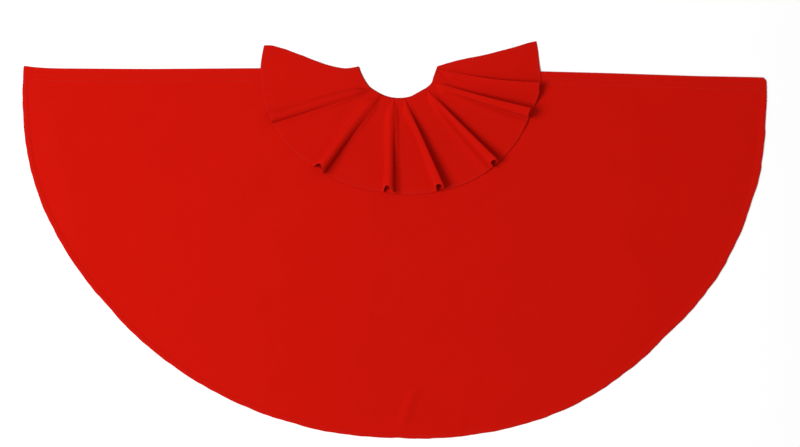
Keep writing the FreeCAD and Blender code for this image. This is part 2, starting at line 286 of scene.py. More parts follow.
def thread_object(name, paths, ups, radius=THREAD, seed=1):
    """Short lengths of thread: paths has each one's points, and ups the way up at them."""
    count, steps = paths.shape[:2]
    along = np.gradient(paths, axis=1)
    along /= np.linalg.norm(along, axis=-1, keepdims=True)
    side = np.cross(along, ups)
    side /= np.maximum(np.linalg.norm(side, axis=-1, keepdims=True), 1e-12)
    up = np.cross(side, along)
    from_middle = np.linspace(-1, 1, steps)
    size = radius * np.sqrt(1 - 0.85 * from_middle**4)
    rings = []
    for k in range(STITCH_SIDES):
        turn = 2 * math.pi * k / STITCH_SIDES
        rings.append(paths + (side * math.cos(turn) + up * math.sin(turn)) * size[None, :, None])
    points = np.stack(rings, 2).reshape(-1, 3)
    index = np.arange(count * steps * STITCH_SIDES).reshape(count, steps, STITCH_SIDES)
    after = np.roll(index, -1, axis=2)
    walls = np.stack([index[:, :-1], index[:, 1:], after[:, 1:], after[:, :-1]], -1).reshape(-1, 4)
    ends = [index[:, 0][:, [0, 1, 2, 3]], index[:, 0][:, [0, 3, 4, 5]]]
    ends += [index[:, -1][:, [3, 2, 1, 0]], index[:, -1][:, [5, 4, 3, 0]]]
    shade = np.random.default_rng(seed).uniform(0, 1, count)
    values = {"shade": np.repeat(shade, steps * STITCH_SIDES)}
    return new_object(name, points, np.concatenate([walls] + ends), None, values)


def running_stitches(line, normals):
    """Stitches along a line of points on cloth: each one's points, which dip in at both ends."""
    run = lengths_along(line)
    starts = np.arange(STITCH_START, run[-1] - STITCH, STITCH_PITCH)
    rise = np.array(STITCH_RISE) * MM
    places = starts[:, None] + np.linspace(0, STITCH, len(rise))
    paths = np.stack([np.interp(places, run, line[:, k]) for k in range(3)], -1)
    ups = np.stack([np.interp(places, run, normals[:, k]) for k in range(3)], -1)
    return paths + ups * (CLOTH / 2 + rise[:, None]), ups


# ------------------------------------------------------------------ the cape


def curve_points(turn, inset=0.0):
    """Points of the curved edge, at 0 on the right end of the half circle and pi on the left."""
    x = CURVE_SHIFT + CURVE_LEAN * np.sin(turn) ** 2 + (HALF_WIDTH - inset) * np.cos(turn)
    y = -CURVE_DROP - (DEPTH - inset) * np.sin(turn)
    return np.stack([NECK[0] + x, NECK[1] + y], -1)


def front_edge(x):
    """How high the front edges run at x, in the frame."""
    return NECK[1] - lookup(LEFT_EDGE + RIGHT_EDGE, x - NECK[0], (MM, MM))


def neckline(radius, angle):
    """Places at distances from the neck's centre, which move with the neckline where they are near."""
    wander = lookup(NECK_WANDER, angle, (1, MM))
    return polar(radius + wander * bell(radius - NECK_RADIUS, 30 * MM), angle)


# Creases left from folding and handling: points from the neck's centre, half width and height.
CREASES = [
    ([(54, -646), (30, -674), (18, -708), (6, -742)], 7, 2.4),
    ([(130, -690), (127, -716), (125, -742)], 5, 1.2),
    ([(672, -160), (700, -172), (736, -176)], 6, 1.3),
    ([(-604, -96), (-560, -120), (-500, -136)], 18, 0.8),
    ([(-330, -520), (-250, -470), (-190, -400)], 32, 0.9),
    ([(420, -330), (470, -400), (490, -480)], 36, 0.9),
]


def crease_height(points):
    """The height that the creases add: each is a soft ridge that fades out at both ends."""
    total = np.zeros(points.shape[:-1])
    for line, width, height in CREASES:
        knots = NECK + np.array(line, float) * MM
        best = np.full(points.shape[:-1], 1e9)
        share = np.zeros(points.shape[:-1])
        for i, (start, end) in enumerate(zip(knots[:-1], knots[1:])):
            run = end - start
            place = np.clip(((points - start) @ run) / (run @ run), 0, 1)
            gap = np.linalg.norm(points - start - place[..., None] * run, axis=-1)
            share = np.where(gap < best, (i + place) / (len(knots) - 1), share)
            best = np.minimum(gap, best)
        fade = smooth(0, 0.35, share) * (1 - 0.75 * smooth(0.8, 1, share))
        total += height * MM * fade * bell(best, width * MM)
    return total


SWELL = 0.8 * MM  # how high the cape's soft waves are
SWELL_SIZE = 240 * MM
SWELL_MARGIN = 70 * MM  # over which they fade out at its edges
RIPPLE = 0.09 * MM  # and the small ones on them
RIPPLE_SIZE = 40 * MM


def cape_swell(points, margin):
    """How far the cape lifts off the floor in soft waves, which fade out near its edges."""
    return SWELL * smooth(0, SWELL_MARGIN, margin) * (1 + soft_noise(points, SWELL_SIZE, 11))


def cape_edge():
    """The curved edge's points and lengths along it, from the left front corner to the right one."""
    start = math.pi - math.asin((CURVE_END_DROP - CURVE_DROP) / DEPTH)
    end = math.asin((CURVE_START_DROP - CURVE_DROP) / DEPTH)
    turns = np.linspace(start, end, 6000)
    line = curve_points(turns)
    run = lengths_along(line)
    places = graded(run[-1], 40 * MM, 40 * MM, FINE_STEP, 7 * MM)
    return curve_points(np.interp(places, run, turns)), places


GROOVE = 0.3 * MM  # how deep a row of stitching lies
GROOVE_WIDTH = 1.3 * MM
PUCKER = 0.2 * MM  # how high the curved hem puckers
PUCKER_PITCH = 1.4 * MM  # from one pucker to the next, over 2 pi
TUCK = 0.13 * MM  # the same for the front hems
TUCK_PITCH = 1.9 * MM
SWAY_SIZE = 95 * MM  # how long the small waves of the curved edge are
SAG_REACH = 45 * MM  # how far in from a front edge the cape follows its sag
WANDER_REACH = 60 * MM  # and from the curved edge its wander
ROUNDING_REACH = 12 * MM
CORNER_MARGIN = 50 * MM  # over which the small waves fade out at the corners


def cape_grid():
    """The cape's surface, as a fan of lines from the neckline to the curved edge, and its wear."""
    outer, places = cape_edge()
    neck_end = math.degrees(math.acos(NECK_CORNER_DROP / NECK_RADIUS))
    ray = np.degrees(np.arctan2(outer[:, 0] - NECK[0], NECK[1] - outer[:, 1]))
    share = (ray - ray[0]) / (ray[-1] - ray[0])
    inner = neckline(NECK_RADIUS, -neck_end + 2 * neck_end * share)
    rows = graded(DEPTH, 10 * MM, 16 * MM, FINE_STEP, 6.5 * MM) / DEPTH
    flat = inner[:, None] * (1 - rows[:, None]) + outer[:, None] * rows[:, None]

    # The front edges sag a little: the first and last lines follow them, and the next ones relax,
    # each on its own side of the cape.
    for column, near in ((0, 1 - share), (-1, share)):
        shift = front_edge(flat[column, :, 0]) - flat[column, :, 1]
        away = np.abs(flat[..., 1] - flat[column, :, 1])
        flat[..., 1] += shift * np.exp(-away / SAG_REACH) * smooth(0.5, 0.8, near)[:, None]

    # The curved edge wanders and puckers a little, and its right corner is rounded.
    from_edge = np.linalg.norm(flat - flat[:, -1:], axis=-1)
    run = places[:, None] * np.ones(len(rows))
    rough = flat_noise(run, SWAY_SIZE, 4)
    pucker = np.sin(run / PUCKER_PITCH + 2.5 * rough)
    outwards = (outer - inner) / np.linalg.norm(outer - inner, axis=-1, keepdims=True)
    corners = smooth(0, CORNER_MARGIN, run) * smooth(0, CORNER_MARGIN, places[-1] - run)
    sway = (1.3 * rough + 0.25 * pucker - 0.6) * MM * np.exp(-from_edge / (10 * MM)) * corners
    sway += lookup(CURVE_WANDER, ray, (1, MM))[:, None] * np.exp(-from_edge / WANDER_REACH)
    to_corner = np.clip(places[-1] - places, 0, CORNER_ROUNDING)
    arc = CORNER_ROUNDING - np.sqrt(CORNER_ROUNDING**2 - (CORNER_ROUNDING - to_corner) ** 2)
    sway -= arc[:, None] * np.exp(-from_edge / ROUNDING_REACH)
    flat += outwards[:, None] * sway[..., None]

    depth = front_edge(flat[..., 0]) - flat[..., 1]
    neck_gap = np.linalg.norm(flat - flat[:, :1], axis=-1)
    over_hem = np.maximum.reduce([
        1 - smooth(FRONT_HEM, FRONT_HEM + HEM_STEP, depth),
        1 - smooth(EDGE_HEM, EDGE_HEM + HEM_STEP, from_edge),
        1 - smooth(FACING, FACING + HEM_STEP, neck_gap),
    ])
    height = FLOOR_PLY + PLY * over_hem
    height += cape_swell(flat, np.minimum.reduce([from_edge, depth, 1.5 * neck_gap]))
    inside = smooth(0, SWELL_MARGIN, np.minimum(from_edge, depth))
    height += (0.2 + 0.8 * inside) * RIPPLE * (1 + soft_noise(flat, RIPPLE_SIZE, 12))
    height += crease_height(flat)
    height += PUCKER * (1 + pucker) * bell(from_edge - EDGE_ROW, 5 * MM)
    tuck = 1 + np.sin(flat[..., 0] / TUCK_PITCH + 3 * soft_noise(flat, 60 * MM, 14))
    height += TUCK * tuck * bell(depth - sum(FRONT_ROWS) / 2, 8 * MM)
    for row in FRONT_ROWS:
        height -= GROOVE * bell(depth - row, GROOVE_WIDTH)
    height -= GROOVE * bell(from_edge - EDGE_ROW, GROOVE_WIDTH)
    worn = np.maximum(bell(from_edge, WEAR_WIDTH), bell(depth, WEAR_WIDTH))
    return np.concatenate([flat, height[..., None]], -1), worn


HEM_GAP = 0.5 * MM  # between a front hem and the hems at its two ends


def front_strip(side):
    """The margin of the cape along one front edge, in rows from the edge down to the hem's width."""
    depths = np.linspace(0, FRONT_HEM, 9)
    drops = NECK_CORNER_DROP + depths
    lean = CURVE_LEAN * ((drops - CURVE_DROP) / DEPTH) ** 2
    outer = CURVE_SHIFT + side * (HALF_WIDTH - EDGE_HEM - HEM_GAP) + lean * (1 - side / 2)
    inner = side * np.sqrt((NECK_RADIUS + FACING + HEM_GAP) ** 2 - drops**2)
    first, last = (inner, outer) if side > 0 else (outer, inner)
    x = NECK[0] + first + (last - first) * np.linspace(0, 1, 240)[:, None]
    y = front_edge(x) - depths
    return np.stack([x, y, np.full_like(x, FLOOR_PLY + PLY)], -1)


def line_on(grid, distance):
    """The line across a grid's columns at a distance from its last row."""
    line = []
    for column in grid[:, ::-1]:
        run = lengths_along(column)
        line.append([np.interp(distance, run, column[:, k]) for k in range(3)])
    return np.array(line)


HEM_ROWS = 6  # rows of a grid that a narrow turned hem lies under
FIRST_ROWS = slice(0, HEM_ROWS)
LAST_ROWS = slice(None, -HEM_ROWS - 1, -1)  # from the last one back


def make_cape():
    """The cape, its turned hems, their stitches, and the cape's grid."""
    grid, worn = cape_grid()
    normals = grid_normals(grid)
    cape = cloth_object("cape_cloth", grid, grid[..., :2], worn)
    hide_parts("cape_panel")

    under = turned_hem(grid[:, LAST_ROWS], normals[:, LAST_ROWS])
    hem = cloth_object("curved_hem_turned", under)
    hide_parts("curved_hem")
    under = turned_hem(grid[:, FIRST_ROWS], normals[:, FIRST_ROWS])
    facing = cloth_object("neck_facing_turned", under)
    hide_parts("neck_facing")
    hems = [hem, facing]
    for side, word in ((-1, "left"), (1, "right")):
        strip = front_strip(side)
        up = np.broadcast_to([0.0, 0.0, 1.0], strip.shape)
        piece = cloth_object(f"front_hem_{word}_turned", turned_hem(strip, up))
        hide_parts(f"front_hem_{word}")
        hems.append(piece)

    line = line_on(grid, EDGE_ROW)
    paths, ups = running_stitches(line, line_on(normals, 0))
    row = thread_object("curved_hem_stitches", paths, ups, seed=2)
    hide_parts("curved_hem_stitching")
    threads = [row]
    surface = BVHTree.FromObject(cape, bpy.context.evaluated_depsgraph_get())
    for side, word in ((-1, "left"), (1, "right")):
        both = []
        for depth in FRONT_ROWS:
            x = NECK[0] + side * np.linspace(NECK_RADIUS + FACING, HALF_WIDTH - FRONT_ROW_STOP, 700)
            y = front_edge(x) - depth
            z = [surface.ray_cast((a, b, 1.0), (0, 0, -1))[0].z - CLOTH / 2 for a, b in zip(x, y)]
            line = np.stack([x, y, z], -1)
            both.append(running_stitches(line, np.broadcast_to([0.0, 0.0, 1.0], line.shape)))
        paths, ups = (np.concatenate([rows[k] for rows in both]) for k in (0, 1))
        piece = thread_object(f"front_stitches_{word}", paths, ups, seed=3 + side)
        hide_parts(f"front_hem_stitching_{word}")
        threads.append(piece)
    return cape, hems, threads, grid


# Each overcast stitch goes from the collar, over the neck's edge and down: distances from the
# neck's centre and heights (millimetres).
OVERCAST = [
    (84.8, 2.3), (83.8, 2.6), (82.2, 2.7), (80.6, 2.55), (79.7, 2.1), (79.4, 1.5), (79.4, 0.9),
    (79.7, 0.45),
]
OVERCAST_THREAD = 0.3 * MM  # radius
OVERCAST_COUNT = 35
OVERCAST_PITCH = 4.4  # degrees
OVERCAST_SLANT = 1.3  # degrees
OVERCAST_LEAN = 1.4  # how far a stitch's outer side turns over the edge, in radians


def make_neck_stitches():
    """Overcast stitches round the neckline, each a little out of its place."""
    draw = np.random.default_rng(8)
    radii, heights = np.array(OVERCAST).T * MM
    paths, ups = [], []
    for n in range(OVERCAST_COUNT):
        middle = (n - (OVERCAST_COUNT - 1) / 2) * OVERCAST_PITCH + draw.uniform(-0.25, 0.25)
        angles = middle + np.linspace(-OVERCAST_SLANT / 2, OVERCAST_SLANT / 2, len(radii))
        ring = neckline(radii + draw.uniform(-0.4, 0.4) * MM * (radii > 82 * MM), angles)
        paths.append(np.column_stack([ring, heights]))
        out = (ring - NECK) / np.linalg.norm(ring - NECK, axis=1, keepdims=True)
        lean = np.linspace(0, -OVERCAST_LEAN, len(radii))[:, None]
        ups.append(np.column_stack([out * np.sin(lean), np.cos(lean)]))
    piece = thread_object("neck_stitches", np.array(paths), np.array(ups), OVERCAST_THREAD, seed=9)
    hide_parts("neck_stitching")
    return piece


# ------------------------------------------------------------------ the collar

COLLAR_INNER = 81 * MM
COLLAR_SEAM_LEVEL = 2.0 * MM  # the middle of its ply at the seam
COLLAR_LEVEL = 2.4 * MM  # and further out, above the waves of the cape
COLLAR_HEM = 7 * MM
COLLAR_ROW = 5 * MM
LEFT_END_ANGLE = -95.4  # of its outer corners
RIGHT_END_ANGLE = 96.8
END_HEM_PLY = 0.92 * MM  # the end hems lie just under the outer one where they cross
GORE_SWELL = 0.8 * MM  # soft waves of a gore, and small ones on them
GORE_SWELL_SIZE = 120 * MM
GORE_RIPPLE = 0.1 * MM
GORE_RIPPLE_SIZE = 30 * MM
EDGE_DROP = 0.35 * MM  # how much lower the collar's outer edge lies
COLLAR_STEP = 4 * MM  # of its grids, and their smallest at the seam and the outer edge
COLLAR_FINE_STEP = 1.4 * MM
SHOULDER = 0.36  # how high, for a wave's size, the next gore comes up beside it
UNDERLAP = 9 * MM  # how far a gore runs under the one before it
SEAM_UNDERLAP = 15 * MM  # and how much further near the seam, under the flutes that open most
OPEN_FLUTES = (6, 7)
SEAM_UNDERLAP_MIDDLE = 0.28  # where that is, and how far it reaches, as shares of the flute's length
SEAM_UNDERLAP_REACH = 0.24
UNDERLAP_OPENING = (-0.02, 0.2)  # over which shares of its length it opens
FLUTE_OPENING = (-0.02, 0.16)  # and the flute itself
FLUTE_START = 0.4 * MM  # a flute's size at the seam
FLUTE_START_SHARE = 0.33  # what it soon opens to, as a share of its size at the outer edge

# The collar's outer edge: angles, and distances from the neck's centre (millimetres).
COLLAR_EDGE = [
    (-96, 268), (-86, 275), (-75, 281), (-65, 282), (-55, 283), (-46, 280), (-36, 273), (-24, 273),
    (-5, 269), (6, 275), (17, 278), (30, 286), (42, 289), (56, 290.5), (64, 287.5), (70, 289),
    (80, 291.5), (87, 282.5), (97, 278),
]
# Its two end edges: distances from the neck's centre (millimetres), and angles.
LEFT_END = [
    (81, -77.5), (95, -77.6), (108, -78.4), (126, -81.4), (158, -86.8), (189, -91.1), (225, -94.3),
    (254, -95.6), (272, -95.2),
]
RIGHT_END = [(81, 78.1), (96, 83.0), (116, 87.0), (140, 89.7), (201, 93.6), (262, 96.5), (284, 96.9)]

# Sections of a flute, across it from the gore on its left: how far over, how high, both in units of
# its size, and how much of its extra height above the next gore each point takes. Near the seam every
# flute is the low wave.
WAVE = [
    (-1.8, 0, 0), (-1.1, 0.02, 0), (-0.4, 0.2, 0), (0.3, 0.8, 0.3), (0.9, 1.25, 0.6), (1.6, 1.4, 0.8),
    (2.4, 1.25, 0.9), (3.2, 0.85, 1), (3.9, 0.42, 1), (4.1, 0.24, 1), (3.7, 0.17, 1), (3.3, 0.1, 1),
    (2.9, 0.04, 1),
]
WAVE_REACH = 3.9
ROLL_REACH = 2.6
LOW_ROLL = [
    (-2.2, 0, 0), (-1.4, 0.03, 0), (-0.6, 0.18, 0), (0.1, 0.55, 0.4), (0.7, 0.95, 0.8), (1.3, 1.18, 1),
    (1.9, 1.12, 1), (2.45, 0.8, 1), (2.75, 0.42, 1), (2.5, 0.12, 1), (2.0, 0, 1), (1.3, 0, 0.95),
    (0.8, 0, 0.9),
]
ROLL = [
    (-1.3, 0, 0), (-0.4, 0, 0), (0.2, 0.02, 0), (0.5, 0.1, 0.1), (0.4, 0.9, 1), (0.55, 1.6, 1),
    (1.05, 2.0, 1), (1.7, 2.1, 1), (2.3, 1.75, 1), (2.65, 1.05, 1), (2.45, 0.3, 1), (1.9, 0, 1),
    (1.4, -0.03, 0.95), (0.9, 0, 0.9),
]
LIP = [
    (-1.2, 0, 0), (-0.4, 0, 0), (0.3, 0.02, 0), (0.5, 0.1, 0.1), (0.45, 0.9, 0.9), (0.5, 1.65, 1),
    (0.8, 2.0, 1), (1.3, 2.07, 1), (1.8, 2.12, 1), (2.25, 2.17, 1), (2.38, 1.9, 1), (2.1, 1.05, 1),
    (1.75, 0.35, 1), (1.3, 0.02, 1), (1, 0, 0.9),
]
CREASED_LIP = [
    (-3.2, 0, 0), (-2.2, 0.02, 0), (-1.2, 0.2, 0), (-0.5, 0.22, 0), (0.1, 0.02, 0), (0.45, 0.08, 0.1),
    (0.45, 0.9, 0.9), (0.5, 1.65, 1), (0.8, 2.0, 1), (1.3, 2.07, 1), (1.8, 2.12, 1), (2.25, 2.17, 1),
    (2.38, 1.9, 1), (2.1, 1.05, 1), (1.75, 0.35, 1), (1.3, 0.02, 1), (1, 0, 0.9),
]
FLAP = [
    (-5, 0, 0), (-3.6, 0.06, 0), (-2.2, 0.4, 0.2), (-0.6, 0.95, 0.6), (0.8, 1.45, 0.9), (1.8, 1.75, 1),
    (2.3, 1.8, 1), (2.25, 1.45, 1), (1.8, 0.8, 1), (1.1, 0.2, 1), (0.5, 0, 0.9),
]
SECTION_STEPS = 64
# Each flute: the angles of its lip at the neck and at the outer edge, how far the lip bows aside in
# between, its size at the outer edge, how much shorter its top is than the cloth under it (all three
# in millimetres), its section, how tall that stands for its size, how much the next gore comes up
# beside it all along, and between which shares of its length it turns into its section.
FLUTES = [
    (-40.5, -63.8, 2.0, 8.5, 3, LOW_ROLL, 1.2, 0.4, (0.3, 0.9)),
    (-25.2, -34.0, -0.5, 10.9, 13, ROLL, 1.0, 0.4, (0.15, 0.85)),
    (-6.0, -2.9, 0, 9.6, 13, ROLL, 0.72, 0.7, (0.1, 0.8)),
    (8.6, 19.4, 0, 9.5, 12, LIP, 1.08, 0, (0.02, 0.42)),
    (42, 43.9, -1, 9.0, 10, CREASED_LIP, 1.0, 0, (0.05, 0.4)),
    (53.8, 68.8, -2, 10.2, 3, CREASED_LIP, 0.95, 0, (0, 0.6)),
    (73.2, 79.8, -5.5, 8.0, 3, FLAP, 1.1, 0, (0.1, 0.6)),
]
LIP_REACH = 2.1  # how far the lip is from the foot, in units of the flute's size
WAVE_MIDDLE = 3.0  # and the middle of a wave's far side
CAD_FLUTE_SIZE = 9 * MM
CAD_GORE_TOP = 3.8 * MM
FLUTE_CLEARANCE = 1.0 * MM
LEAST_END_LIFT = 1.7 * MM
GORES = len(FLUTES) + 1


def spline(points, count):
    """Even steps along a cubic B-spline from the first to the last of its control points."""
    controls = np.array([points[0]] * 2 + list(points) + [points[-1]] * 2, float)
    spans = len(controls) - 3
    place = np.linspace(0, spans, 40 * spans)
    span = np.minimum(place.astype(int), spans - 1)
    t = (place - span)[:, None]
    weights = ((1 - t) ** 3, 3 * t**3 - 6 * t**2 + 4, -3 * t**3 + 3 * t**2 + 3 * t + 1, t**3)
    fine = sum(weight * controls[span + k] for k, weight in enumerate(weights)) / 6
    run = lengths_along(fine[:, :2])
    even = np.linspace(0, run[-1], count)
    return np.stack([np.interp(even, run, fine[:, k]) for k in range(3)], -1)


def collar_reach(angle):
    """How far the collar's outer edge is from the neck's centre."""
    return lookup(COLLAR_EDGE, angle, (1, MM))


class Flute:
    """One flute: the line that its foot follows, and its size along it."""

    def __init__(self, number):
        neck_angle, edge_angle, bow, size, mouth_cut, section = FLUTES[number - 1][:6]
        tallness, self.fill, self.turning = FLUTES[number - 1][6:]
        start = polar(COLLAR_INNER, neck_angle)
        end = polar(collar_reach(edge_angle), edge_angle)
        out = (end - start) / np.linalg.norm(end - start)
        self.aside = np.array([-out[1], out[0]])
        self.bow = bow * MM
        self.end_size = size * MM
        self.mouth_cut = mouth_cut * MM
        lines = (spline(points, SECTION_STEPS) for points in (WAVE, section))
        self.wave, self.section = (line * (1, tallness, 1) for line in lines)
        self.start = start - self.aside * LIP_REACH * FLUTE_START
        foot_angle = edge_angle - math.degrees(LIP_REACH * self.end_size / collar_reach(edge_angle))
        self.underlap = SEAM_UNDERLAP if number in OPEN_FLUTES else 0
        self.length = float((polar(collar_reach(foot_angle), foot_angle) - self.start) @ out)
        self.out = out
        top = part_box(f"collar_flute_{number}")[1].z
        self.end_lift = max(LEAST_END_LIFT, top - CAD_GORE_TOP - 2 * CAD_FLUTE_SIZE)

    def size(self, run):
        """Its size at a distance from the seam: it opens fast there, and then evenly."""
        share = np.clip(run / self.length, 0, 1)
        grown = FLUTE_START_SHARE + (1 - FLUTE_START_SHARE) * share
        grown *= smooth(*FLUTE_OPENING, share)
        return FLUTE_START + (self.end_size - FLUTE_START) * grown

    def turned(self, share):
        """How far it has turned from a wave into its own section at a share of its length."""
        return smooth(*self.turning, share)

    def sections(self, share):
        """Its section at shares of its length."""
        own = self.turned(share)[:, None]
        return self.wave[:, None] * (1 - own) + self.section[:, None] * own

    def lift(self, run):
        """How far it rises above the next gore, besides its own height."""
        return FLUTE_CLEARANCE + (self.end_lift - FLUTE_CLEARANCE) * run / self.length

    def foot(self, run):
        """How far aside its foot is at a distance from the seam."""
        reach = WAVE_MIDDLE + (LIP_REACH - WAVE_MIDDLE) * self.turned(run / self.length)
        return self.bow * np.sin(math.pi * run / self.length) - reach * (self.size(run) - FLUTE_START)

    def point(self, run, over):
        """The place at a distance from the seam, and that far over from the flute's foot."""
        aside = self.foot(run) + over
        return self.start + self.out * run[..., None] + self.aside * aside[..., None]

    def over(self, points):
        """How far points are along the flute, and how far over from its foot."""
        run = (points - self.start) @ self.out
        return run, (points - self.start) @ self.aside - self.foot(run)


def radius_and_angle(points):
    gap = points - NECK
    return np.linalg.norm(gap, axis=-1), np.degrees(np.arctan2(gap[..., 0], -gap[..., 1]))


def rest_level(points):
    """How high the flat of the collar lies: on the cape, or on the floor past the cape's edge."""
    radius = np.linalg.norm(points - NECK, axis=-1)
    rise = (COLLAR_LEVEL - COLLAR_SEAM_LEVEL) * smooth(COLLAR_INNER, 105 * MM, radius)
    level = COLLAR_SEAM_LEVEL + rise
    depth = front_edge(points[..., 0]) - points[..., 1]
    level += cape_swell(points, np.minimum(depth, 1.5 * (radius - NECK_RADIUS)))
    drop = level - FLOOR_PLY - PLY
    return level - drop * smooth(2 * MM, 34 * MM, -depth) * smooth(100 * MM, 150 * MM, radius)


def gore_grid(number):
    """A gore and the flute on its right, in columns across the cloth and rows out from the seam.

    It also gives the number of columns that the gore has.
    """
    before = Flute(number - 1) if number > 1 else None
    after = Flute(number) if number < GORES else None
    full = collar_reach(0) - COLLAR_INNER
    share = graded(full, 6 * MM, 8.4 * MM, COLLAR_FINE_STEP, COLLAR_STEP) / full

    # its two sides, as distances from the neck's centre and angles
    if before:
        under = UNDERLAP + before.underlap * bell(share - SEAM_UNDERLAP_MIDDLE, SEAM_UNDERLAP_REACH)
        under *= smooth(*UNDERLAP_OPENING, share)
        left = radius_and_angle(before.point(share * before.length, -under))
    else:
        radius = COLLAR_INNER + (collar_reach(LEFT_END_ANGLE) - COLLAR_INNER) * share
        left = radius, lookup(LEFT_END, radius, (MM, 1))
    if after:
        section = after.sections(share)
        first = section[0, :, 0]
        run = share * after.length
        right = radius_and_angle(after.point(run, first * after.size(run)))
    else:
        radius = COLLAR_INNER + (collar_reach(RIGHT_END_ANGLE) - COLLAR_INNER) * share
        right = radius, lookup(RIGHT_END, radius, (MM, 1))

    # columns: a margin as wide as a hem, even steps, and a margin at the collar's own end
    width = np.radians(right[1] - left[1]) * (left[0] + right[0]) / 2
    narrow = np.minimum(1, 0.45 * width / COLLAR_HEM)
    margin = [distance * narrow for distance in np.linspace(0, COLLAR_HEM, HEM_ROWS)]
    last = width if after else width - COLLAR_HEM
    steps = max(6, int(width[-1] / COLLAR_STEP))
    across = margin + [margin[-1] + (last - margin[-1]) * c for c in np.linspace(0, 1, steps)[1:]]
    if not after:
        across[-1] = width - margin[-1]
        across += [width - distance for distance in margin[-2::-1]]
    part = np.array(across) / width
    angle = left[1] + (right[1] - left[1]) * part
    reach = collar_reach(angle[:, -1:])
    radius = COLLAR_INNER + (reach - COLLAR_INNER) * share
    flat = neckline(radius, angle)

    level = rest_level(flat)
    swell = np.sin(math.pi * part) ** 2 * smooth(0, 0.5, share) * (1 - smooth(0.7, 1, share))
    level += GORE_SWELL * swell * (1 + soft_noise(flat, GORE_SWELL_SIZE, 20 + number))
    level += GORE_RIPPLE * (1 + soft_noise(flat, GORE_RIPPLE_SIZE, 40 + number)) * smooth(0, 0.2, share)
    level -= EDGE_DROP * smooth(0.85, 1, share)
    if before:
        run, over = before.over(flat)
        level -= PLY * (1 - smooth(0, 6 * MM, over)) * smooth(0, 30 * MM, run)
        over = over / before.size(run)
        nose = WAVE_REACH + (ROLL_REACH - WAVE_REACH) * before.turned(share)
        shoulder = smooth(nose - 1, nose, over) * (1 - smooth(nose, nose + 1.7, over))
        shoulder *= SHOULDER * before.size(run) + 0.8 * before.lift(run)
        level += shoulder * np.maximum(1 - before.turned(share), before.fill) * smooth(0, 20 * MM, run)
    grid = np.concatenate([flat, level[..., None]], -1)
    if not after:
        return grid, len(flat)

    # the flute goes on from the gore's last column
    fold = section[1:]
    rise = fold[:, -1:, 1] / fold[:, -1, 1].max()
    beside = smooth(1.2, 2.3, fold[:, -1:, 0])
    cut = after.mouth_cut * smooth(0.45, 1, rise) * (1 - 0.5 * beside)
    run = share * (after.length - cut)
    size = after.size(run)
    radius, angle = radius_and_angle(after.point(run, fold[..., 0] * size))
    arc = COLLAR_INNER + (collar_reach(angle[:, -1:]) - COLLAR_INNER) * share
    radius += (arc - radius) * (1 - smooth(-1, 0, fold[..., 0]))
    place = neckline(radius, angle)
    height = fold[..., 1] * size + fold[..., 2] * after.lift(run) * smooth(0, 12 * MM, run)
    base = rest_level(after.point(run, 0 * run))
    joined = 1 - smooth(-1, 0.2, fold[..., 0] / abs(first))
    base += (grid[-1, :, 2] - base[0]) * joined
    fold = np.concatenate([place, (base + height)[..., None]], -1)
    return np.concatenate([grid, fold]), len(flat)


def thin_at_seam(grid, flat_columns):
    """The ply's thickness: less where a flute starts, so that its tight folds don't cross."""
    radius = np.linalg.norm(grid[..., :2] - NECK, axis=-1)
    folded = (np.arange(len(grid)) >= flat_columns)[:, None]
    return CLOTH * (1 - 0.6 * folded * (1 - smooth(COLLAR_INNER, 110 * MM, radius)))


def bend(piece, number):
    """Bakes the piece's placement into its points. The hinge of its segment is looked up, but the piece
    is not turned with it.
    """
    segment = f"collar_segment_{min(number, len(FLUTES))}"
    joint = [j for j in frame["joints"] if j["child"] == segment][0]
    hinge = np.array(joint["pos_m"])
    out = np.append(hinge[:2] - NECK, 0)
    out /= np.linalg.norm(out)
    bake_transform(piece)


def make_collar_part(number):
    """A gore with its flute, its turned hems and its stitches, and the gore's grid."""
    grid, flat_columns = gore_grid(number)
    normals = grid_normals(grid)
    run = np.linalg.norm(grid - grid[:, -1:], axis=-1)
    gore = cloth_object(
        f"collar_cloth_{number}", grid, None, bell(run, 2 * MM), thin_at_seam(grid, flat_columns)
    )
    shown = [f"collar_gore_{number}"] + ([f"collar_flute_{number}"] if number < GORES else [])
    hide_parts(*shown)

    under = turned_hem(grid[:, LAST_ROWS], normals[:, LAST_ROWS])
    hem = cloth_object(f"collar_hem_turned_{number}", under)
    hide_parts(f"collar_hem_{number}")
    hems = [hem]
    rows = [running_stitches(line_on(grid, COLLAR_ROW), line_on(normals, 0))]
    for end, word, columns in ((1, "left", FIRST_ROWS), (GORES, "right", LAST_ROWS)):
        if number == end:
            side, up = (part[columns].swapaxes(0, 1) for part in (grid, normals))
            piece = cloth_object(f"collar_end_hem_turned_{word}", turned_hem(side, up, END_HEM_PLY))
            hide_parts(f"collar_end_hem_{word}")
            hems.append(piece)
            line = line_on(side[:-HEM_ROWS, ::-1], COLLAR_ROW)
            rows.append(running_stitches(line, up[:-HEM_ROWS, 0]))
    paths, ups = (np.concatenate([row[k] for row in rows]) for k in (0, 1))
    stitches = thread_object(f"collar_stitches_{number}", paths, ups, seed=10 + number)
    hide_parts(f"collar_stitching_{number}")
    return gore, hems, stitches, grid


# ------------------------------------------------------------------ materials


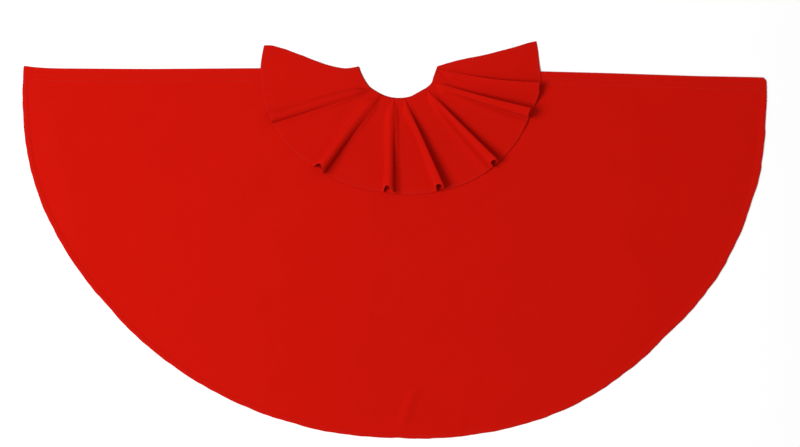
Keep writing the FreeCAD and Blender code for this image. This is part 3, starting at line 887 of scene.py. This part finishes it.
class Nodes:
    """A material's nodes, added one call at a time."""

    def __init__(self, name):
        self.material = bpy.data.materials.new(name)
        self.material.use_nodes = True
        self.tree = self.material.node_tree
        self.shader = self.tree.nodes["Principled BSDF"]

    def add(self, kind, settings=None, inputs=None):
        node = self.tree.nodes.new("ShaderNode" + kind)
        for key, value in (settings or {}).items():
            setattr(node, key, value)
        for key, value in (inputs or {}).items():
            self.set(node, key, value)
        return node

    def set(self, node, key, value):
        socket = node.inputs[key]
        if isinstance(value, bpy.types.NodeSocket):
            self.tree.links.new(value, socket)
        else:
            socket.default_value = value

    def math(self, operation, *values):
        node = self.add("Math", {"operation": operation}, dict(enumerate(values)))
        return node.outputs[0]

    def noise(self, vector, scale, detail=3.0, roughness=0.55):
        inputs = {"Vector": vector, "Scale": scale, "Detail": detail, "Roughness": roughness}
        return self.add("TexNoise", None, inputs).outputs["Fac"]

    def mix(self, share, first, second):
        node = self.add("Mix", {"data_type": "RGBA"})
        colour = [socket for socket in node.inputs if socket.type == "RGBA"]
        self.set(node, 0, share)
        for socket, value in zip(colour, (first, second)):
            if isinstance(value, bpy.types.NodeSocket):
                self.tree.links.new(value, socket)
            else:
                socket.default_value = (*value, 1)
        return [socket for socket in node.outputs if socket.type == "RGBA"][0]


RED = (0.51, 0.0053, 0.0016)
DARK_RED = (0.452, 0.0040, 0.0012)
WORN_RED = (0.63, 0.016, 0.009)
SHEEN_RED = (1.0, 0.05, 0.03, 1)
DARK_THREAD = (0.33, 0.004, 0.003)
LIGHT_THREAD = (0.53, 0.018, 0.012)
FLOOR_WHITES = (0.93, 0.93, 0.93), (0.95, 0.95, 0.95)
THREAD_PITCH = 0.9 * MM  # of the weave


def weave(nodes, cloth):
    """A plain weave's height: warp and weft threads that pass over each other in turn."""
    scale = 2 * math.pi / (20 * THREAD_PITCH)
    bands = []
    for direction in ("X", "Y"):
        settings = {"wave_type": "BANDS", "bands_direction": direction, "wave_profile": "SIN"}
        inputs = {"Vector": cloth, "Scale": scale, "Distortion": 0.6, "Detail": 1.0, "Detail Scale": 0.4}
        band = nodes.add("TexWave", settings, inputs).outputs["Fac"]
        bands.append(nodes.math("MULTIPLY_ADD", band, 2.0, -1.0))
    crossing = nodes.math("MULTIPLY", *bands)
    return nodes.math("MULTIPLY_ADD", crossing, 0.5, 0.5)


def cloth_material(name, tint):
    """Red cloth: woven, with painted shade in the weave's gaps, a little patchy and slubby, and paler
    where its edges are worn.
    """
    nodes = Nodes(name)
    cloth = nodes.add("UVMap", {"uv_map": "cloth"}).outputs["UV"]
    place = nodes.add("TexCoord").outputs["Object"]
    threads = weave(nodes, cloth)
    fibre = nodes.noise(cloth, 1500.0)
    slub = nodes.noise(cloth, 160.0)
    patches = nodes.noise(place, 9.0, 4.0)
    shade = nodes.math("MULTIPLY_ADD", patches, 0.5, nodes.math("MULTIPLY_ADD", slub, 0.3, -0.1))
    shade = nodes.math("MULTIPLY_ADD", fibre, 0.3, nodes.math("ADD", shade, -0.2))
    # painted shade: the weave's low places, its gaps, are made darker in colour as well as lower in the
    # bump
    shade = nodes.math("MULTIPLY_ADD", threads, 0.25, shade)
    colour = nodes.mix(shade, tuple(c * tint for c in DARK_RED), tuple(c * tint for c in RED))
    worn = nodes.add("Attribute", {"attribute_name": "worn"}).outputs["Fac"]
    worn = nodes.math("MULTIPLY", nodes.math("MULTIPLY", worn, fibre), 0.35)
    colour = nodes.mix(worn, colour, WORN_RED)
    height = nodes.math("MULTIPLY_ADD", threads, 0.55, nodes.math("MULTIPLY", fibre, 0.45))
    bump = nodes.add("Bump", None, {"Strength": 0.6, "Distance": 0.2 * MM, "Height": height})
    shader = nodes.shader
    nodes.set(shader, "Base Color", colour)
    nodes.set(shader, "Roughness", nodes.math("MULTIPLY_ADD", slub, 0.12, 0.80))
    nodes.set(shader, "Normal", bump.outputs["Normal"])
    shader.inputs["Specular IOR Level"].default_value = 0.03
    shader.inputs["Sheen Weight"].default_value = 0.12
    shader.inputs["Sheen Roughness"].default_value = 0.45
    shader.inputs["Sheen Tint"].default_value = SHEEN_RED
    return nodes.material


def thread_material():
    """Red thread, with each stitch in a shade of its own."""
    nodes = Nodes("sewing_thread")
    place = nodes.add("TexCoord").outputs["Object"]
    shade = nodes.add("Attribute", {"attribute_name": "shade"}).outputs["Fac"]
    strand = nodes.noise(place, 3500.0, 2.0)
    shade = nodes.math("MULTIPLY_ADD", shade, 0.7, nodes.math("MULTIPLY", strand, 0.3))
    colour = nodes.mix(shade, DARK_THREAD, LIGHT_THREAD)
    bump = nodes.add("Bump", None, {"Strength": 0.3, "Distance": 0.05 * MM, "Height": strand})
    nodes.set(nodes.shader, "Base Color", colour)
    nodes.set(nodes.shader, "Normal", bump.outputs["Normal"])
    nodes.shader.inputs["Roughness"].default_value = 0.55
    nodes.shader.inputs["Specular IOR Level"].default_value = 0.25
    return nodes.material


def floor_material():
    """Matt white, for the paper under the cape."""
    nodes = Nodes("studio_floor")
    place = nodes.add("TexCoord").outputs["Object"]
    colour = nodes.mix(nodes.noise(place, 3.0), *FLOOR_WHITES)
    nodes.set(nodes.shader, "Base Color", colour)
    nodes.shader.inputs["Roughness"].default_value = 0.9
    nodes.shader.inputs["Specular IOR Level"].default_value = 0.0
    return nodes.material


# ------------------------------------------------------------------ the stage

VIEW_CENTRE = (10 * MM, 32.7 * MM)
LENS = 100
SENSOR = 36
VIEW_WIDTH = 1.6
FLOOR_SIZE = 14
SKY_LIGHT = 0.56
KEY_POWER = 232
KEY_SIZE = 2.8
KEY_DISTANCE = 5.0
KEY_TURN = 1  # degrees that the key light stands below the left of the view
KEY_HEIGHT = 49  # degrees above the floor


def make_stage():
    """A white floor, a soft sky, a key light from the left and a camera straight above."""
    scene = bpy.context.scene
    bpy.ops.mesh.primitive_plane_add(size=FLOOR_SIZE)
    floor = bpy.context.object
    floor.name = "floor"
    floor.data.materials.append(floor_material())

    world = bpy.data.worlds.new("studio")
    world.use_nodes = True
    sky = world.node_tree.nodes["Background"]
    sky.inputs["Strength"].default_value = SKY_LIGHT
    sky.inputs["Color"].default_value = (1, 1, 1, 1)
    scene.world = world

    lamp = bpy.data.lights.new("key", "AREA")
    lamp.energy = KEY_POWER
    lamp.shape = "DISK"
    lamp.size = KEY_SIZE
    key = bpy.data.objects.new("key", lamp)
    turn, up = math.radians(KEY_TURN), math.radians(KEY_HEIGHT)
    towards = Vector((-math.cos(turn) * math.cos(up), -math.sin(turn) * math.cos(up), math.sin(up)))
    key.location = towards * KEY_DISTANCE
    key.rotation_euler = towards.to_track_quat("Z", "Y").to_euler()
    scene.collection.objects.link(key)

    camera = bpy.data.objects.new("camera", bpy.data.cameras.new("camera"))
    camera.data.lens = LENS
    camera.data.sensor_width = SENSOR
    camera.location = (*VIEW_CENTRE, VIEW_WIDTH * LENS / SENSOR)
    camera.data.clip_end = 50
    scene.collection.objects.link(camera)
    scene.camera = camera
    scene.view_settings.view_transform = "Standard"


# ------------------------------------------------------------------ the whole object


def finish_piece(piece, material):
    piece.data.materials.append(material)


def main():
    make_stage()
    cape_cloth = cloth_material("cape_cloth", 1.0)
    collar_cloth = cloth_material("collar_cloth", 0.99)
    thread = thread_material()

    cape, hems, threads, grid = make_cape()
    threads.append(make_neck_stitches())
    for piece in [cape] + hems:
        finish_piece(piece, cape_cloth)
    for piece in threads:
        finish_piece(piece, thread)
    for piece in [cape] + hems + threads:
        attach(piece, "cape")

    for number in range(1, GORES + 1):
        gore, hems, stitches, grid = make_collar_part(number)
        for piece in [gore] + hems:
            finish_piece(piece, collar_cloth)
        finish_piece(stitches, thread)
        for piece in [gore, stitches] + hems:
            bend(piece, number)


main()
